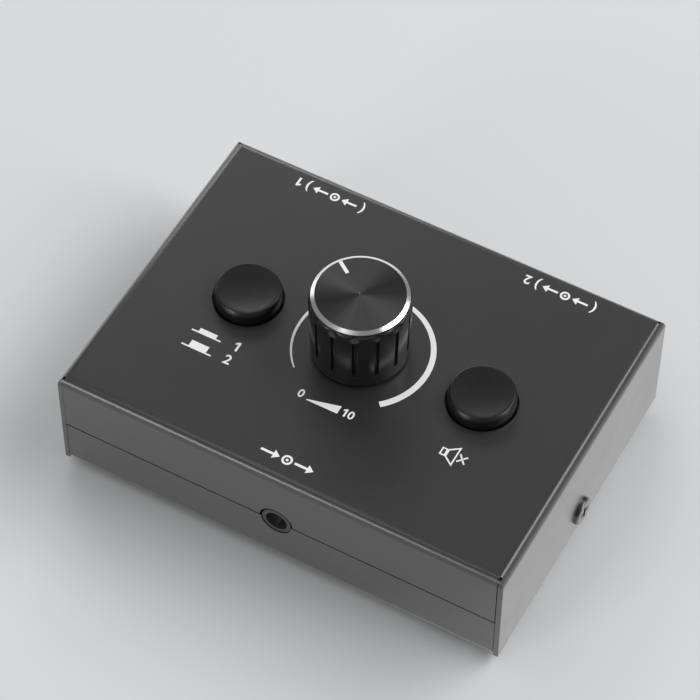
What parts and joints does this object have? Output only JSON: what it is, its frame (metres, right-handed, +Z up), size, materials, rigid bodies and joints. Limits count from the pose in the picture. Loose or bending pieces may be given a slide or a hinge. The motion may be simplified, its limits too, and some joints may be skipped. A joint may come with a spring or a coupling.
{
  "type": "speaker selector switch",
  "caption": "Flat metal desktop box that routes a stereo audio signal between plug sockets, with a turning volume knob on top, a push button at each side of it and sockets at front and back.",
  "frame": {"origin": "on the table under the middle of the case, at the underside of the feet", "axes": "+X to the right along the front, +Y to the back where the pair of sockets is, +Z up through the knob"},
  "size_m": [0.0916, 0.065, 0.042],
  "materials": {
    "case_coat": "fine satin powder coat, black",
    "black_screw_steel": "black nickel plated steel",
    "foot_rubber": "matt black rubber",
    "nickel_brass": "nickel plated brass",
    "zinc_steel": "bright zinc plated steel",
    "zinc_cast": "die-cast zinc, satin",
    "board_green": "glass fibre board with green solder mask",
    "jack_plastic": "moulded black plastic",
    "tinned_metal": "tinned copper alloy",
    "wafer_plastic": "brown phenolic moulding",
    "carbon_track": "carbon film",
    "spindle_aluminium": "plain turned aluminium",
    "knob_plastic": "polished black plastic",
    "knob_aluminium": "dark anodised, spun face, bright cut edge",
    "button_plastic": "satin black plastic",
    "plunger_plastic": "white plastic",
    "spring_steel": "spring wire"
  },
  "bodies": {
    "case": {"top_cover_panel": "case_coat", "top_cover_front": "case_coat", "top_cover_rear": "case_coat", "top_cover_left": "case_coat", "top_cover_right": "case_coat", "bottom_cover": "case_coat", "side_screws": "black_screw_steel", "rubber_feet": "foot_rubber", "board_standoffs": "nickel_brass", "board_screws": "zinc_steel", "circuit_board": "board_green", "front_jack_housing": "jack_plastic", "front_jack_contacts": "tinned_metal", "rear_jack_1_housing": "jack_plastic", "rear_jack_1_contacts": "tinned_metal", "rear_jack_2_housing": "jack_plastic", "rear_jack_2_contacts": "tinned_metal", "pot_lower_wafer": "wafer_plastic", "pot_upper_wafer": "wafer_plastic", "pot_tracks": "carbon_track", "pot_leads": "tinned_metal", "pot_frame": "zinc_steel", "pot_bushing": "zinc_cast", "pot_washer": "zinc_steel", "pot_nut": "nickel_brass", "select_switch_housing": "jack_plastic", "select_switch_spring": "spring_steel", "select_switch_leads": "tinned_metal", "mute_switch_housing": "jack_plastic", "mute_switch_spring": "spring_steel", "mute_switch_leads": "tinned_metal"},
    "knob": {"pot_spindle": "spindle_aluminium", "pot_wipers": "wafer_plastic", "knob_body": "knob_plastic", "knob_cap": "knob_aluminium"},
    "select_button": {"select_button_cap": "button_plastic", "select_switch_plunger": "plunger_plastic"},
    "mute_button": {"mute_button_cap": "button_plastic", "mute_switch_plunger": "plunger_plastic"}
  },
  "joints": [
    {"name": "knob_turn", "type": "hinge", "parent": "case", "child": "knob", "pos_m": [-0.0007, -0.0002, 0.026], "axis": [0, 0, 1], "range_deg": [-205, 95]},
    {"name": "select_press", "type": "slide", "parent": "case", "child": "select_button", "axis": [0, 0, -1], "range_m": [0, 0.002], "stiffness_N_per_m": 500, "springref_m": -0.002, "deforming": ["select_switch_spring"]},
    {"name": "mute_press", "type": "slide", "parent": "case", "child": "mute_button", "axis": [0, 0, -1], "range_m": [0, 0.002], "stiffness_N_per_m": 500, "springref_m": -0.002, "deforming": ["mute_switch_spring"]}
  ]
}
